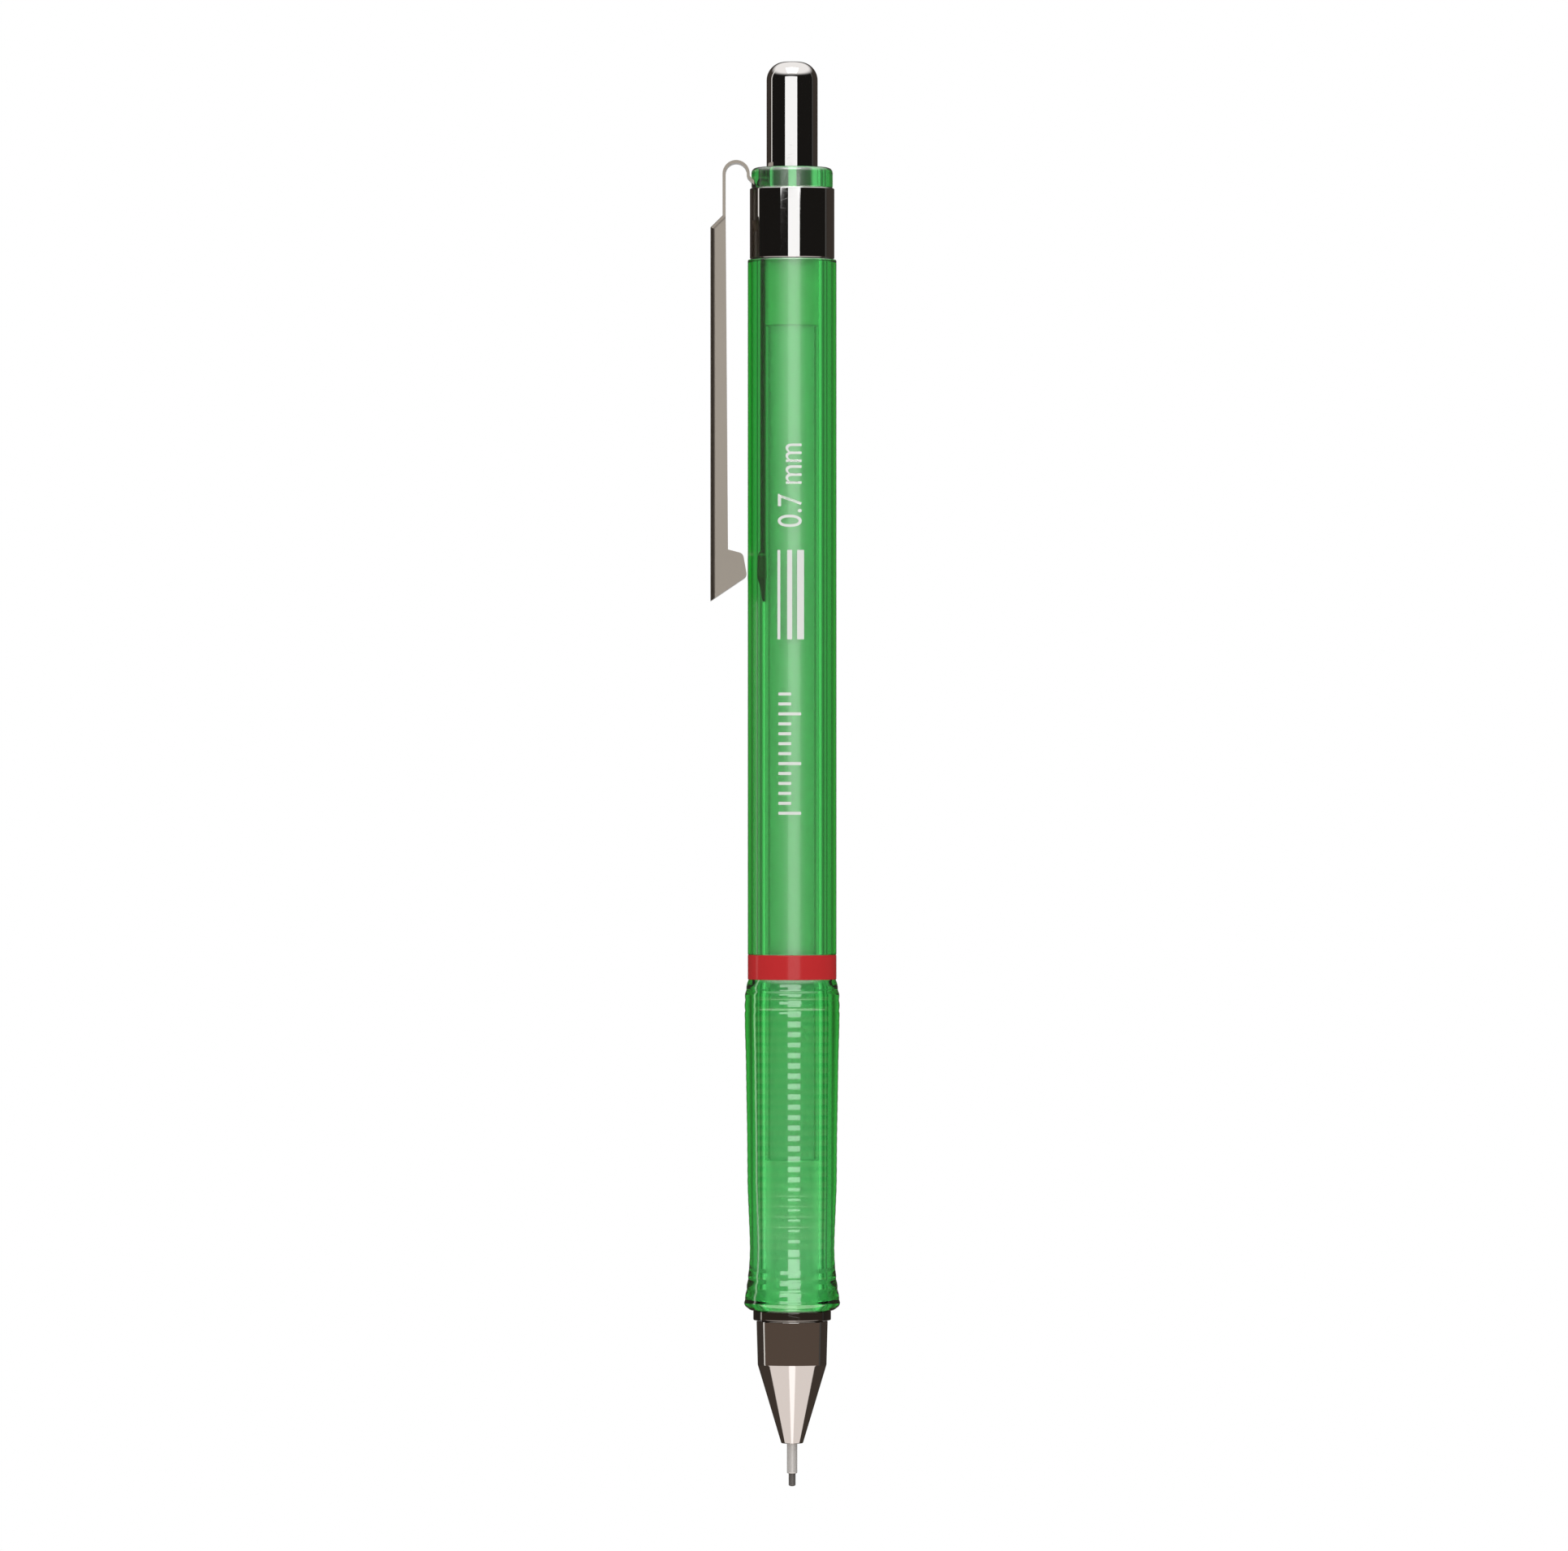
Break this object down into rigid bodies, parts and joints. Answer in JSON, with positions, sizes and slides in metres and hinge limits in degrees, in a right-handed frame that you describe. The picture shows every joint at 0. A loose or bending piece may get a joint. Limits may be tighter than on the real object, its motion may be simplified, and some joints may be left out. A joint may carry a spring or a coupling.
{
  "type": "mechanical pencil",
  "caption": "Click-action lead holder for 0.7 mm leads: clear green barrel and ribbed grip, red band, plated cone, ring, pocket clip and push cap.",
  "frame": {"origin": "the writing point: the lower end of the lead, on the pencil's axis", "axes": "+Z along the axis from the writing point to the push cap, -X towards the pocket clip, the pencil upright as it is held"},
  "size_m": [0.013, 0.0096, 0.1439],
  "materials": {
    "green_barrel": "clear green, polished",
    "green_grip": "clear green soft grip, ribbed",
    "red_plastic": "opaque red, gloss",
    "bright_chrome": "bright plated",
    "satin_chrome": "plated, slightly satin",
    "insert_metal": "nickel-plated brass",
    "steel": "drawn tube, bright",
    "spring_steel": "bright wire",
    "brass": "turned",
    "natural_plastic": "milky, translucent",
    "white_plastic": "moulded",
    "black_rubber": "soft bush",
    "eraser_rubber": "matt white",
    "graphite": "dark grey, slight sheen"
  },
  "bodies": {
    "body": {"barrel": "green_barrel", "grip_sleeve": "green_grip", "red_band": "red_plastic", "front_insert": "insert_metal", "rear_bushing": "green_barrel", "clip_ring": "bright_chrome", "clip_tongue": "satin_chrome", "return_spring": "spring_steel"},
    "tip": {"tip_cone": "satin_chrome", "guide_sleeve": "steel", "lead_retainer": "black_rubber"},
    "feed": {"lead_tube": "natural_plastic", "eraser": "eraser_rubber", "chuck_holder": "white_plastic", "chuck_stem": "brass", "spare_leads": "graphite"},
    "cap": {"push_cap": "bright_chrome"},
    "jaw_1": {"chuck_jaw_1": "brass"},
    "jaw_2": {"chuck_jaw_2": "brass"},
    "jaw_3": {"chuck_jaw_3": "brass"},
    "clutch": {"clutch_ring": "brass"},
    "lead": {"lead": "graphite"},
    "clip": {"clip_arm": "satin_chrome"}
  },
  "joints": [
    {"name": "cap_press", "type": "slide", "parent": "body", "child": "feed", "axis": [0, 0, 1], "range_m": [-0.0045, 0], "stiffness_N_per_m": 900, "springref_m": 0.0015, "deforming": ["return_spring"]},
    {"name": "cap_pull", "type": "slide", "parent": "feed", "child": "cap", "axis": [0, 0, 1], "range_m": [0, 0.016]},
    {"name": "jaw_1_open", "type": "hinge", "parent": "feed", "child": "jaw_1", "pos_m": [0.00088, 0, 0.022], "axis": [0, -1, 0], "range_deg": [0, 1.5]},
    {"name": "jaw_2_open", "type": "hinge", "parent": "feed", "child": "jaw_2", "pos_m": [-0.00044, 0.00076, 0.022], "axis": [0.866, 0.5, 0], "range_deg": [0, 1.5]},
    {"name": "jaw_3_open", "type": "hinge", "parent": "feed", "child": "jaw_3", "pos_m": [-0.00044, -0.00076, 0.022], "axis": [-0.866, 0.5, 0], "range_deg": [0, 1.5]},
    {"name": "clutch_slide", "type": "slide", "parent": "body", "child": "clutch", "axis": [0, 0, 1], "range_m": [-0.0008, 0]},
    {"name": "lead_feed", "type": "slide", "parent": "body", "child": "lead", "axis": [0, 0, 1], "range_m": [-0.046, 0.0013]},
    {"name": "clip_flex", "type": "hinge", "parent": "body", "child": "clip", "pos_m": [-0.00565, 0, 0.1339], "axis": [0, 1, 0], "range_deg": [0, 4], "stiffness_Nm_per_rad": 6, "springref_deg": -0.57},
    {"name": "tip_off", "type": "slide", "parent": "body", "child": "tip", "axis": [0, 0, 1], "range_m": [-0.02, 0]}
  ],
  "couplings": [
    {"joint": "jaw_1_open", "follows": "cap_press", "rad_per_m": -5.8},
    {"joint": "jaw_2_open", "follows": "cap_press", "rad_per_m": -5.8},
    {"joint": "jaw_3_open", "follows": "cap_press", "rad_per_m": -5.8},
    {"joint": "clutch_slide", "follows": "cap_press", "ratio": 0.1777}
  ]
}
